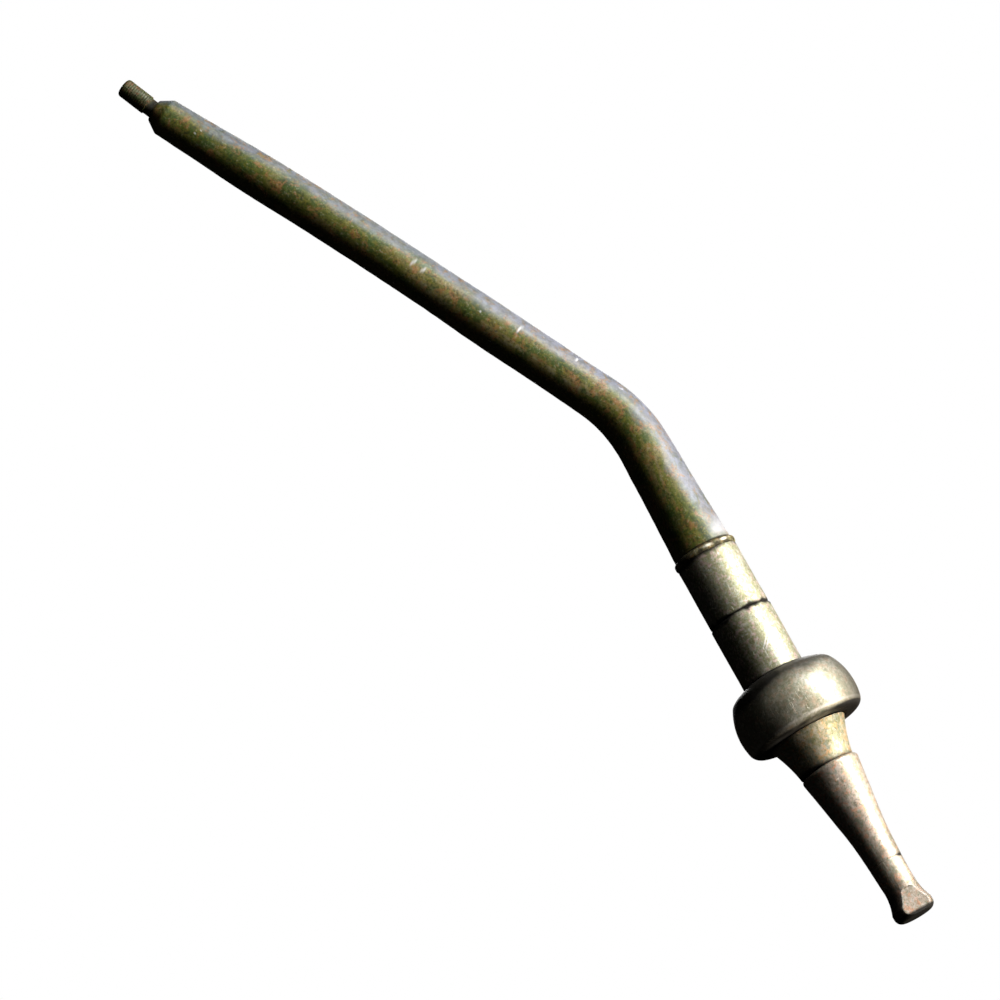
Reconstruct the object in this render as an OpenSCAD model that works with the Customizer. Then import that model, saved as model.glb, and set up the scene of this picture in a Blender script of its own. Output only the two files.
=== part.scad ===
// Gear shift arm: a bent floor lever that swings on a half-ball and ends in a selector finger.
// The origin is the centre of the half-ball's sphere. +Z runs up the shank towards the knob,
// and the arm leans back towards -X above its bend. The stem stands a little off the
// half-ball's centre, as the photographed one does. All sizes are in millimetres.

/* [Half-ball] */
// Diameter of the half-ball's sphere
ball_d = 50.8; // [42:0.1:62]
// Height of the half-ball's flat top above the sphere's centre
ball_top = 17; // [15.5:0.1:20.5]
// Width of the half-ball's flat top outside the lower sleeve
ball_top_lip = 0.3; // [0.1:0.1:1]
// Depth of the flat underside below the sphere's centre
ball_bottom = 9.2; // [7.5:0.1:11.5]
// Rounding of the rim round the underside
ball_rim_r = 4; // [2:0.1:5]
// Angle above the sphere's equator up to which its surface is a true sphere
ball_true_angle = 30; // [20:1:34]
// How far up its tangent the shoulder above the true sphere turns in, as a share
ball_shoulder = 0.52; // [0.3:0.01:0.8]
// Depth of the relief that keeps the neck collar's rim off the half-ball
collar_relief = 0.5; // [0.3:0.1:1]
// Wall of the bearing bush inside the half-ball
bush_wall = 2.6; // [1.5:0.1:3.5]
// Thickness of each thrust washer
washer_t = 1.6; // [0.8:0.1:2.5]
// How far the thrust washers' edges lie inside the lower sleeve's surface
washer_cover = 1.06; // [0.8:0.01:2]

/* [Shank] */
// How far the stem's axis stands off the half-ball's centre, towards -X
stem_offset = 1.2; // [0:0.1:2]
// Diameter of the stem that carries the sleeves and the half-ball
stem_d = 15.88; // [13.2:0.01:19.1]
// Diameter of the stem's tail, inside the finger
tail_d = 11.1; // [9:0.1:13.4]
// Outer diameter of the upper sleeve
upper_sleeve_d = 25.6; // [21.3:0.1:31]
// Length of the upper sleeve below the ring
upper_sleeve_len = 27.2; // [16:0.1:40]
// Outer diameter of the lower sleeve
lower_sleeve_d = 26.2; // [21.8:0.1:32]
// Length of the lower sleeve
lower_sleeve_len = 27; // [16:0.1:40]
// Bevel of the sleeves' edges where they meet
sleeve_bevel = 0.5; // [0.2:0.1:1]
// How far the retaining ring stands proud of the upper sleeve
ring_proud = 0.5; // [0.3:0.1:2]
// Thickness of the retaining ring
ring_h = 3.2; // [2:0.1:5]
// Depth of the retaining ring's seat below the upper sleeve's surface
ring_seat = 1.5; // [1:0.1:2.2]
// Gap between the retaining ring's ends
ring_gap = 4; // [2:0.5:8]
// Diameter of the dowels that lock the sleeves to the stem
dowel_d = 3; // [2:0.1:4]
// Length of a dowel inside the stem
dowel_bite = 4; // [2:0.1:6]

/* [Neck and finger] */
// How far the neck collar stands off the half-ball's centre, towards -X
collar_offset = 0.6; // [0:0.1:2]
// Diameter of the neck collar where it meets the half-ball
collar_top_d = 32.4; // [29:0.1:35]
// Diameter of the neck collar where it meets the finger
collar_end_d = 22.8; // [21:0.1:24]
// Length of the neck collar
collar_len = 15.5; // [12:0.1:20]
// Thickness of the collar's floor, which the finger clamps against the stem
collar_floor = 4.5; // [3:0.1:6]
// How far the collar's outline is hollowed
collar_sag = 0.6; // [0:0.1:1.2]
// Angle by which the finger leans towards +X from its shoulder down
finger_lean = 1.2; // [0:0.1:2]
// Diameter of the finger's shoulder
finger_top_d = 24.6; // [23:0.1:27]
// Rounding of the finger's shoulder
finger_top_r = 1.2; // [0.5:0.1:2]
// Diameter where the finger's steep taper ends
finger_mid_d = 15.5; // [14.5:0.1:17]
// Length of the finger's steep taper
finger_taper_len = 30.6; // [26:0.1:36]
// Diameter of the finger's lower end
finger_end_d = 14.1; // [12:0.1:15]
// Length of the finger below its steep taper
finger_end_len = 13.3; // [13:0.1:20]
// Solid length of finger between the stem's tail and the tip's shank
finger_web = 8.9; // [5:0.1:14]
// Diameter of the cross rivet that holds the finger
finger_rivet_d = 3.2; // [2:0.1:4]

/* [Tip] */
// Diameter of the tip's shank inside the finger
tip_shank_d = 7; // [5:0.1:8]
// Length of the tip's shank inside the finger
tip_shank_len = 11; // [8:0.1:12]
// Diameter of the tip above its flare
tip_d = 13.6; // [12:0.1:15]
// Length of the tip above its flare
tip_run = 12; // [8:0.1:20]
// Diameter of the flare
flare_d = 17.2; // [15.5:0.1:19]
// Length of the flare, from where it starts to the end face
flare_len = 12.1; // [10:0.1:15]
// Length of the straight run at each end of the flare's curve
flare_land = 1.5; // [0.8:0.1:2.2]
// Rounding of the flare's lower edge
flare_r = 3; // [1:0.1:3.4]
// How far the flare stands off the tip's centre line
flare_offset = 0.1; // [0:0.1:1.6]
// Width across the tip's two flats
flat_width = 13.2; // [11:0.1:13.4]
// Diameter of the cross rivet that holds the tip
tip_rivet_d = 2; // [1.5:0.1:2.5]

/* [Arm] */
// Diameter of the arm's foot, above the ring
arm_foot_d = 24.2; // [23:0.1:26]
// Length of the straight foot between the ring and the bend
foot_run = 47.5; // [30:0.1:80]
// Diameter where the foot's steep taper ends
foot_mid_d = 22.4; // [21:0.1:24]
// Length of the foot's steep taper
foot_taper_run = 24; // [10:0.5:28]
// Length of foot just above that taper that hardly thins
foot_even_run = 13; // [4:0.5:15]
// Diameter where that length ends
foot_even_d = 21.9; // [20.5:0.1:23]
// Diameter through the bend
arm_bend_d = 20; // [18:0.1:23]
// Angle of the bend
bend_angle = 28.1; // [10:0.1:45]
// Radius of the bend's centre line
bend_r = 60; // [40:1:120]
// Diameter just above the bend
arm_low_d = 18.8; // [17:0.1:20]
// Length over which the arm thins above the bend
low_run = 12; // [8:0.5:20]
// Largest diameter of the upper arm
arm_belly_d = 19.1; // [17:0.1:21]
// Length from there to the largest diameter
belly_run = 46; // [30:0.5:70]
// Diameter through the slow bend half way up the arm
arm_waist_d = 18.1; // [16:0.1:19]
// Length from the largest diameter to the slow bend
waist_run = 16; // [10:0.5:50]
// Angle of the slow bend
slow_angle = 1.9; // [1:0.1:4]
// Radius of the slow bend's centre line
slow_r = 2300; // [1500:10:2800]
// Diameter where the end taper starts
arm_top_d = 18; // [16:0.1:20]
// Length from the slow bend to the end taper
top_run = 12; // [6:0.5:30]
// Diameter of the arm's end, before its nose
arm_end_d = 15.5; // [14:0.1:17]
// Length of the end taper
taper_run = 43; // [20:0.5:60]
// Width of the nose's end face outside the stud
nose_rim = 0.53; // [0.3:0.01:1.5]
// Length of the nose
nose_len = 6; // [3:0.1:9]
// How much the nose has rounded in half way along it
nose_ease = 1; // [0.4:0.1:1.6]

/* [Knob stud] */
// Diameter of the stud
stud_d = 7.94; // [6:0.01:9.6]
// Depth of the stud's undercut, at the arm's end
undercut_depth = 0.25; // [0.2:0.01:1.2]
// Length of the undercut
undercut_len = 3.1; // [2:0.1:5]
// Length of the stud beyond its undercut
stud_len = 12.7; // [8:0.1:25]
// Depth of the stud inside the arm
stud_depth = 16; // [10:0.5:22]
// Rounding of the stud's end
stud_end_r = 1.4; // [0.5:0.1:2.5]
// Angle by which the stud leans off the arm's line
stud_lean = 6; // [0:0.5:8]

/* [Fits] */
// Radial clearance of the bush on the stem
run_gap = 0.05; // [0.02:0.01:0.1]
// End float of the half-ball, at each end
end_float = 0.15; // [0.1:0.05:0.3]
// Radial clearance of a pressed, screwed or riveted fit
seat_gap = 0.02; // [0.01:0.01:0.05]

/* [Hidden] */
$fn = 96;

// Steps along a curve in a turned outline
curve_steps = 12;
// How far a hole's cutter runs past a face, and a run of the arm into the next one
past = 1;
lap = 0.5;
// A step that keeps a run of the arm from being tangent to the run it laps
step = 0.05;
// Room beyond the end of a pin in a blind hole, and round a washer or rim in its recess
hole_relief = 1;
side_gap = 0.4;
tail_bevel = 0.8;

// Radii
ball_r = ball_d / 2;
stem_r = stem_d / 2;
tail_r = tail_d / 2;
upper_sleeve_r = upper_sleeve_d / 2;
lower_sleeve_r = lower_sleeve_d / 2;
washer_r = lower_sleeve_r - washer_cover;
bush_r = stem_r + run_gap + bush_wall;
recess_r = washer_r + side_gap;
stud_r = stud_d / 2;

// Heights on the shank, from the half-ball outwards
sleeve_z = ball_top + end_float;
line_z = sleeve_z + lower_sleeve_len;
ring_z = line_z + upper_sleeve_len;
foot_z = ring_z + ring_h;
bend_z = foot_z + foot_run;
collar_z = -ball_bottom - end_float;
finger_z = collar_z - collar_len;
tail_z = finger_z + collar_floor;
taper_z = finger_z - finger_taper_len;
tip_z = taper_z - finger_end_len;
tail_end_z = tip_z + tip_shank_len + finger_web;
flare_z = tip_z - tip_run;
end_z = flare_z - flare_len;

// Places of the rivets and dowels
finger_rivet_z = (finger_z + tail_end_z) / 2;
tip_rivet_z = tip_z + tip_shank_len / 2;
upper_dowel_z = line_z + upper_sleeve_len / 2;
lower_dowel_z = sleeve_z + lower_sleeve_len / 2;

// Outlines

// Points on an arc in the X-Z plane, from one angle to the other
function arc(centre, r, from, to) =
    [for (i = [0:curve_steps])
        let (a = from + (to - from) * i / curve_steps) centre + r * [cos(a), sin(a)]];

// Points on a curve that leaves a towards m and comes to b from m
function curve(a, m, b) =
    [for (i = [0:curve_steps])
        let (t = i / curve_steps) (1 - t) * (1 - t) * a + 2 * t * (1 - t) * m + t * t * b];

// Points from a to b, bowed towards the axis by sag in the middle
function bowed(a, b, sag) = curve(a, (a + b) / 2 - [2 * sag, 0], b);

module turned(outline) {
    rotate_extrude() polygon(outline);
}

// A round bar on the axis between two heights, used both as metal and as a hole
module bar(r, z_low, z_high) {
    translate([0, 0, z_low]) cylinder(r = r, h = z_high - z_low);
}

// The stem's axis, which everything on the stem shares
module on_stem() {
    translate([-stem_offset, 0, 0]) children();
}

// The finger's axis, which leans from the middle of its shoulder
module on_finger() {
    translate([0, 0, finger_z]) rotate([0, -finger_lean, 0]) translate([0, 0, -finger_z])
        children();
}

// Runs of the bent arm. Each is drawn from the origin up +Z, and places what follows it.

module bent_run(r, angle, d) {
    translate([-r, 0, 0]) rotate([90, 0, 0])
        rotate_extrude(angle = angle) translate([r, 0]) circle(d = d);
}

module after_bend(r, angle) {
    translate([-r, 0, 0]) rotate([0, -angle, 0]) translate([r, 0, 0]) children();
}

module after_straight(length) {
    translate([0, 0, length]) children();
}

// The place and direction of the arm's end face, up +Z
module at_nose() {
    after_straight(bend_z) after_bend(bend_r, bend_angle)
        after_straight(low_run + belly_run + waist_run)
            after_bend(slow_r, slow_angle)
                after_straight(top_run + taper_run + nose_len) children();
}

module foot_and_stem() {
    turned([
        [0, tail_end_z],
        [tail_r - tail_bevel, tail_end_z],
        [tail_r, tail_end_z + tail_bevel],
        [tail_r, tail_z],
        [stem_r, tail_z],
        [stem_r, foot_z],
        [arm_foot_d / 2, foot_z],
        [foot_mid_d / 2, foot_z + foot_taper_run],
        [foot_even_d / 2, foot_z + foot_taper_run + foot_even_run],
        [arm_bend_d / 2 - step, bend_z + lap],
        [0, bend_z + lap]
    ]);
}

module middle_run() {
    low_z = low_run;
    belly_z = low_z + belly_run;
    waist_z = belly_z + waist_run;
    turned([
        [0, -lap],
        [arm_bend_d / 2 - step, -lap],
        [arm_low_d / 2, low_z],
        [arm_belly_d / 2, belly_z],
        [arm_waist_d / 2 - step, waist_z],
        [arm_waist_d / 2 - step, waist_z + lap],
        [0, waist_z + lap]
    ]);
}

module top_run_and_nose() {
    taper_start = top_run;
    nose_start = taper_start + taper_run;
    nose_end = nose_start + nose_len;
    turned(concat(
        [[0, -lap], [arm_waist_d / 2 - step, -lap], [arm_top_d / 2, taper_start]],
        curve([arm_end_d / 2, nose_start], [arm_end_d / 2 - nose_ease, nose_start + nose_len / 2],
              [stud_r + nose_rim, nose_end]),
        [[0, nose_end]]
    ));
}

// Cross hole or pin along X, and radial hole or pin on the +Y side

module across_x(d, z, length) {
    translate([0, 0, z]) rotate([0, 90, 0]) cylinder(d = d, h = length, center = true);
}

module into_back(d, z, from, to) {
    translate([0, from, z]) rotate([-90, 0, 0]) cylinder(d = d, h = to - from);
}

// Sub-parts

module knob_stud() {
    color("dimgray") on_stem() at_nose() {
        bar(stud_r, -stud_depth, 0);
        rotate([0, stud_lean, 0]) {
            bar(stud_r - undercut_depth, -past, undercut_len + past);
            translate([0, 0, undercut_len])
                turned(concat(
                    [[0, 0], [stud_r, 0]],
                    arc([stud_r - stud_end_r, stud_len - stud_end_r], stud_end_r, 0, 90),
                    [[0, stud_len]]
                ));
        }
    }
}

module upper_arm() {
    color("darkolivegreen") on_stem() difference() {
        union() {
            foot_and_stem();
            after_straight(bend_z) {
                bent_run(bend_r, bend_angle, arm_bend_d);
                after_bend(bend_r, bend_angle) {
                    middle_run();
                    after_straight(low_run + belly_run + waist_run) {
                        bent_run(slow_r, slow_angle, arm_waist_d);
                        after_bend(slow_r, slow_angle) top_run_and_nose();
                    }
                }
            }
        }
        at_nose() bar(stud_r + seat_gap, -stud_depth - hole_relief, past);
        across_x(finger_rivet_d + 2 * seat_gap, finger_rivet_z, tail_d + past);
        for (z = [upper_dowel_z, lower_dowel_z])
            into_back(dowel_d + 2 * seat_gap, z, stem_r - dowel_bite - seat_gap, stem_r + past);
    }
}

module retaining_ring() {
    ring_in = upper_sleeve_r - ring_seat + seat_gap;
    ring_out = upper_sleeve_r + ring_proud;
    gap_angle = ring_gap / ring_out * 180 / PI;
    bead_r = ring_h / 2;
    color("darkkhaki") on_stem() translate([0, 0, ring_z]) rotate([0, 0, 90 + gap_angle / 2])
        rotate_extrude(angle = 360 - gap_angle) polygon(concat(
            [[ring_in, 0]],
            arc([ring_out - bead_r, bead_r], bead_r, -90, 90),
            [[ring_in, ring_h]]
        ));
}

module upper_sleeve() {
    seat_r = upper_sleeve_r - ring_seat;
    color("tan") on_stem() difference() {
        turned([
            [0, line_z],
            [upper_sleeve_r - sleeve_bevel, line_z],
            [upper_sleeve_r, line_z + sleeve_bevel],
            [upper_sleeve_r, ring_z],
            [seat_r, ring_z],
            [seat_r, foot_z],
            [0, foot_z]
        ]);
        bar(stem_r + seat_gap, line_z - past, foot_z + past);
        into_back(dowel_d + 2 * seat_gap, upper_dowel_z, 0, upper_sleeve_r + past);
    }
}

module lower_sleeve() {
    color("tan") on_stem() difference() {
        turned([
            [0, sleeve_z],
            [lower_sleeve_r, sleeve_z],
            [lower_sleeve_r, line_z - sleeve_bevel],
            [lower_sleeve_r - sleeve_bevel, line_z],
            [0, line_z]
        ]);
        bar(stem_r + seat_gap, sleeve_z - past, line_z + past);
        into_back(dowel_d + 2 * seat_gap, lower_dowel_z, 0, lower_sleeve_r + past);
    }
}

module sleeve_dowels() {
    places = [[upper_dowel_z, upper_sleeve_r], [lower_dowel_z, lower_sleeve_r]];
    color("gray") on_stem() for (at = places)
        intersection() {
            into_back(dowel_d, at[0], stem_r - dowel_bite, at[1] + past);
            bar(at[1], at[0] - dowel_d, at[0] + dowel_d);
        }
}

module upper_thrust_washer() {
    color("goldenrod") on_stem() difference() {
        bar(washer_r, sleeve_z - washer_t, sleeve_z);
        bar(stem_r + seat_gap, sleeve_z - washer_t - past, sleeve_z + past);
    }
}

module fulcrum_half_ball() {
    top_edge = [lower_sleeve_r + ball_top_lip, ball_top];
    true_edge = ball_r * [cos(ball_true_angle), sin(ball_true_angle)];
    tangent = (ball_top - true_edge.y) / cos(ball_true_angle)
        * [-sin(ball_true_angle), cos(ball_true_angle)];
    relief_r = collar_top_d / 2 + abs(stem_offset - collar_offset) + side_gap;
    rim_reach = ball_r - ball_rim_r;
    rim_centre = [sqrt(pow(rim_reach, 2) - pow(ball_bottom - ball_rim_r, 2)),
                  ball_rim_r - ball_bottom];
    rim_angle = atan2(rim_centre.y, rim_centre.x);
    color("silver") difference() {
        turned(concat(
            [[0, -ball_bottom]],
            arc(rim_centre, ball_rim_r, -90, rim_angle),
            arc([0, 0], ball_r, rim_angle, ball_true_angle),
            curve(true_edge, true_edge + ball_shoulder * tangent, top_edge),
            [[0, ball_top]]
        ));
        on_stem() {
            bar(bush_r + seat_gap, -ball_bottom - past, ball_top + past);
            bar(recess_r, ball_top - washer_t, ball_top + past);
            bar(recess_r, -ball_bottom - past, -ball_bottom + washer_t);
            bar(relief_r, -ball_bottom - past, -ball_bottom + collar_relief);
        }
    }
}

module ball_bush() {
    low = -ball_bottom + washer_t;
    high = ball_top - washer_t;
    color("peru") on_stem() difference() {
        bar(bush_r, low, high);
        bar(stem_r + run_gap, low - past, high + past);
    }
}

module lower_thrust_washer() {
    color("goldenrod") on_stem() difference() {
        bar(washer_r, collar_z, collar_z + washer_t);
        bar(stem_r + seat_gap, collar_z - past, collar_z + washer_t + past);
    }
}

module neck_collar() {
    color("burlywood") difference() {
        translate([-collar_offset, 0, 0]) turned(concat(
            [[0, finger_z]],
            bowed([collar_end_d / 2, finger_z], [collar_top_d / 2, collar_z], collar_sag),
            [[0, collar_z]]
        ));
        on_stem() {
            bar(stem_r + seat_gap, tail_z, collar_z + past);
            bar(tail_r + seat_gap, finger_z - past, tail_z + past);
        }
    }
}

// The finger's outside, without its holes, which also trims its rivets flush
module finger_body() {
    shoulder_r = finger_top_d / 2;
    face_r = shoulder_r - finger_top_r;
    difference() {
        on_finger() turned(concat(
            [[0, tip_z], [finger_end_d / 2, tip_z], [finger_mid_d / 2, taper_z]],
            arc([face_r, finger_z - finger_top_r], finger_top_r, 0, 90),
            [[face_r, finger_z + past], [0, finger_z + past]]
        ));
        bar(finger_top_d, finger_z, finger_z + 2 * past);
    }
}

module selector_finger() {
    color("rosybrown") difference() {
        finger_body();
        on_stem() bar(tail_r + seat_gap, tail_end_z - hole_relief, finger_z + past);
        across_x(finger_rivet_d + 2 * seat_gap, finger_rivet_z, finger_top_d);
        on_finger() {
            bar(tip_shank_d / 2 + seat_gap, tip_z - past, tip_z + tip_shank_len + hole_relief);
            across_x(tip_rivet_d + 2 * seat_gap, tip_rivet_z, finger_top_d);
        }
    }
}

module finger_rivet() {
    color("gray") intersection() {
        across_x(finger_rivet_d, finger_rivet_z, finger_top_d);
        finger_body();
    }
}

module finger_tip() {
    side = flare_d;
    start_r = tip_d / 2 - flare_offset - step;
    neck_z = flare_z + flare_land;
    wide_z = end_z + flare_r + flare_land;
    color("rosybrown") on_finger() difference() {
        union() {
            bar(tip_shank_d / 2, tip_z - past, tip_z + tip_shank_len);
            turned([
                [0, flare_z - past],
                [tip_d / 2, flare_z - past],
                [finger_end_d / 2 - seat_gap, tip_z],
                [0, tip_z]
            ]);
            translate([flare_offset, 0, 0]) turned(concat(
                [[0, end_z]],
                arc([flare_d / 2 - flare_r, end_z + flare_r], flare_r, -90, 0),
                curve([flare_d / 2, wide_z], [start_r, (wide_z + neck_z) / 2], [start_r, neck_z]),
                [[0, neck_z]]
            ));
        }
        for (way = [-1, 1])
            translate([flare_offset, way * (flat_width / 2 + side / 2), end_z + flare_len / 2 - past])
                cube([2 * side, side, flare_len], center = true);
        across_x(tip_rivet_d + 2 * seat_gap, tip_rivet_z, finger_top_d);
    }
}

module tip_rivet() {
    color("gray") intersection() {
        on_finger() across_x(tip_rivet_d, tip_rivet_z, finger_top_d);
        finger_body();
    }
}

knob_stud();
upper_arm();
retaining_ring();
upper_sleeve();
lower_sleeve();
sleeve_dowels();
upper_thrust_washer();
fulcrum_half_ball();
ball_bush();
lower_thrust_washer();
neck_collar();
selector_finger();
finger_rivet();
finger_tip();
tip_rivet();
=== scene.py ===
"""Looks of the gear shift arm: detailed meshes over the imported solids, worn-metal materials,
studio light and a camera at the photograph's viewing angle.

The part's sizes are in mm. The lamps, the floor and the flag are in metres."""
import math

import bpy
import numpy as np
from mathutils import Matrix, Vector


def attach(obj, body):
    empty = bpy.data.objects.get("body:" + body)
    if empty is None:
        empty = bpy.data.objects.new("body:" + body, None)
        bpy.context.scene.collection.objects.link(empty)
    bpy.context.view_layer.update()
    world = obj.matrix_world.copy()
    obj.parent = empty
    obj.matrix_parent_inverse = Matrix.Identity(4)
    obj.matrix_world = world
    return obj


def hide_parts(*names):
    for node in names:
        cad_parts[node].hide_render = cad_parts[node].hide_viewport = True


MM = 0.001

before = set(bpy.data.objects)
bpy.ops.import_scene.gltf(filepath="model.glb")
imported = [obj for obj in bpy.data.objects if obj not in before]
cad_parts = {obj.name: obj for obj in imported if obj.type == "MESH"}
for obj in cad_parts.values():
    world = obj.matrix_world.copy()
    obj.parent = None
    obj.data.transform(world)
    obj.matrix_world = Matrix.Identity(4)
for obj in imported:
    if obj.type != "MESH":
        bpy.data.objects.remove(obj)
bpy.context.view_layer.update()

# ---------------------------------------------------------------- sizes, as in the solids

STEM_X = -1.2
STEM_R = 7.94
TAIL_R = 5.55
TAIL_Z = -20.35

BALL_R = 25.4
BALL_TOP = 17.0
BALL_BOTTOM = 9.2
BALL_RIM_R = 4.0
BALL_TRUE_ANGLE = 30.0
BALL_SHOULDER = 0.52
BALL_LIP = 0.3
BUSH_R = 10.61
RECESS_R = 12.44
RECESS_DEPTH = 1.6
RELIEF_R = 17.2
RELIEF_DEPTH = 0.5

UPPER_R = 12.8
LOWER_R = 13.1
SLEEVE_Z = 17.15
LINE_Z = 44.15
RING_Z = 71.35
FOOT_Z = 74.55
SEAT_R = 11.3
RING_R = 13.3
RING_EDGE = 0.75
RING_SHOULDER = 0.8
RING_GAP = 4.0

COLLAR_X = -0.6
COLLAR_Z = -9.35
COLLAR_TOP_R = 16.2
COLLAR_END_R = 11.4
COLLAR_SAG = 0.6
FINGER_Z = -24.85
FINGER_LEAN = 1.2
FINGER_R = 12.3
FINGER_TOP_ROUND = 1.2
TAPER_Z = -55.45
FINGER_MID_R = 7.75
FINGER_END_R = 7.05
TIP_Z = -68.75
FLARE_Z = -80.75
END_Z = -92.85
TIP_R = 6.8
TIP_INSET = 0.03
FLARE_R = 8.6
FLARE_ROUND = 3.0
FLARE_LAND = 1.5
FLARE_SHIFT = 0.1
FLAT_HALF = 6.6
# About the finger's middle there, because this rivet is square to the stem
FINGER_RIVET_X = 0.2
FINGER_RIVET_Z = -36.85
FINGER_RIVET_R = 1.6
TIP_RIVET_Z = -63.25
TIP_RIVET_R = 1.0

# Lengths along the arm's centre line, from the foot to the stud
FOOT_R = 12.1
FOOT_TAPER_RUN = 24.0
FOOT_EVEN_RUN = 13.0
BEND_Z = 122.05
BEND_R = 60.0
BEND_ANGLE = 28.1
LOW_RUN = 12.0
BELLY_RUN = 46.0
WAIST_RUN = 16.0
SLOW_R = 2300.0
SLOW_ANGLE = 1.9
TOP_RUN = 12.0
TAPER_RUN = 43.0
ARM_END_R = 7.7
NOSE_LEN = 6.0
NOSE_RIM = 0.6

STUD_R = 3.97
STUD_LEAN = 6.0
STUD_END = 15.8
STUD_ROUND = 1.4
UNDERCUT_R = 3.72
UNDERCUT_LEN = 3.1
THREAD_PITCH = 1.058
THREAD_DEPTH = 0.12

# Painted shade on the side away from the lamps: the side it is on, in radians round from +X,
# how far round from there it reaches, over how much of that it fades, and how dark it is
DARK_SIDE = 3.2
SIDE_SHADE_REACH = 1.35
SIDE_SHADE_FADE = 0.7
SIDE_SHADE = 0.45

# ---------------------------------------------------------------- noise for shapes


# Where the frame's origin lies on the noise's lattice, far from the lattice's own zero
LATTICE_START = 1000.0


def lattice(i, j, k, seed):
    """A fixed value from -1 to 1 at each whole-number point."""
    h = (i * 374761393 + j * 668265263 + k * 1274126177 + seed * 144665) & 0xFFFFFFFF
    h = ((h ^ (h >> 13)) * 1103515245) & 0xFFFFFFFF
    h = h ^ (h >> 16)
    return (h & 0xFFFF) / 32767.5 - 1.0


def noise(points, size, seed):
    """Smooth noise from about -1 to 1 whose bumps are about size mm across."""
    p = points / size + LATTICE_START
    base = np.floor(p).astype(np.int64)
    t = p - base
    t = t * t * (3.0 - 2.0 * t)
    total = np.zeros(len(points))
    for n in range(8):
        step = ((n >> 2) & 1, (n >> 1) & 1, n & 1)
        weight = np.ones(len(points))
        for axis in range(3):
            weight *= t[:, axis] if step[axis] else 1.0 - t[:, axis]
        total += weight * lattice(*(base[:, axis] + step[axis] for axis in range(3)), seed)
    return total


def rough_noise(points, size, seed, octaves=3):
    """Noise with ever smaller and weaker bumps added, each half the size of the last."""
    return sum(noise(points, size / 2.0**n, seed + n) / 2.0**n for n in range(octaves))


def near(value, middle, width):
    """1 at middle, falling smoothly to 0 width away on both sides."""
    t = np.clip(1.0 - np.abs(value - middle) / width, 0.0, 1.0)
    return t * t * (3.0 - 2.0 * t)


def turn_from(angle, middle):
    """How far round angle is from middle, from -pi to pi."""
    return np.remainder(angle - middle + math.pi, 2 * math.pi) - math.pi


def right_side_shade(angle, middle, width):
    """A mask for painted shade: 1 at middle radians round from +X, which faces right in the view,
    and 0 width away.
    """
    return near(turn_from(angle, middle), 0.0, width)


def painted_side_shade(flat, angle):
    """Painted shade, with a ragged edge, on the side at DARK_SIDE round the piece."""
    ragged = np.abs(turn_from(angle, DARK_SIDE)) + 0.3 * rough_noise(flat, 7.0, 7)
    return SIDE_SHADE * np.clip((SIDE_SHADE_REACH - ragged) / SIDE_SHADE_FADE, 0, 1)


# ---------------------------------------------------------------- outlines


CORNER_STEPS = 4


def corner(outline, index, radius):
    """The points that round one corner of an outline."""
    here = np.array(outline[index][:2], float)
    before = np.array(outline[index - 1][:2], float)
    after = np.array(outline[(index + 1) % len(outline)][:2], float)
    reach_in = min(radius, 0.45 * np.linalg.norm(before - here))
    reach_out = min(radius, 0.45 * np.linalg.norm(after - here))
    start = here + (before - here) / np.linalg.norm(before - here) * reach_in
    end = here + (after - here) / np.linalg.norm(after - here) * reach_out
    ts = np.linspace(0.0, 1.0, CORNER_STEPS + 1)
    return [(1 - t) ** 2 * start + 2 * t * (1 - t) * here + t * t * end for t in ts]


def smoothed(outline, step, closed):
    """Rounds each corner that has a radius as its third number, then adds points every step mm."""
    points = []
    for i, p in enumerate(outline):
        if len(p) > 2 and (closed or 0 < i < len(outline) - 1):
            points += corner(outline, i, p[2])
        else:
            points.append(np.array(p[:2], float))
    dense = []
    for i, a in enumerate(points):
        if i == len(points) - 1 and not closed:
            dense.append(a)
            break
        b = points[(i + 1) % len(points)]
        count = max(1, int(math.ceil(np.linalg.norm(b - a) / step)))
        dense += [a + (b - a) * n / count for n in range(count)]
    return np.array(dense)


def arc(centre, radius, start, end, steps=16):
    """Points on a circle, from start to end in degrees."""
    angles = np.radians(np.linspace(start, end, steps + 1))
    return [(centre[0] + radius * math.cos(a), centre[1] + radius * math.sin(a)) for a in angles]


def curve(a, m, b, steps):
    """Points on the curve from a to b that is pulled towards m."""
    ts = np.linspace(0.0, 1.0, steps + 1)
    a, m, b = (np.array(p, float) for p in (a, m, b))
    return [tuple((1 - t) ** 2 * a + 2 * t * (1 - t) * m + t * t * b) for t in ts]


# ---------------------------------------------------------------- turned and swept pieces


class Line:
    """A straight axis: origin, direction and the two directions across it."""

    def __init__(self, origin, direction=(0, 0, 1), across=(1, 0, 0)):
        self.origin = np.array(origin, float)
        self.along = np.array(direction, float) / np.linalg.norm(direction)
        u = np.array(across, float)
        u = u - self.along * (u @ self.along)
        self.u = u / np.linalg.norm(u)
        self.v = np.cross(self.along, self.u)

    def place(self, r, angle, z):
        out = r * np.cos(angle)
        side = r * np.sin(angle)
        return (self.origin + np.outer(z, self.along) + np.outer(out, self.u)
                + np.outer(side, self.v))


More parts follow.
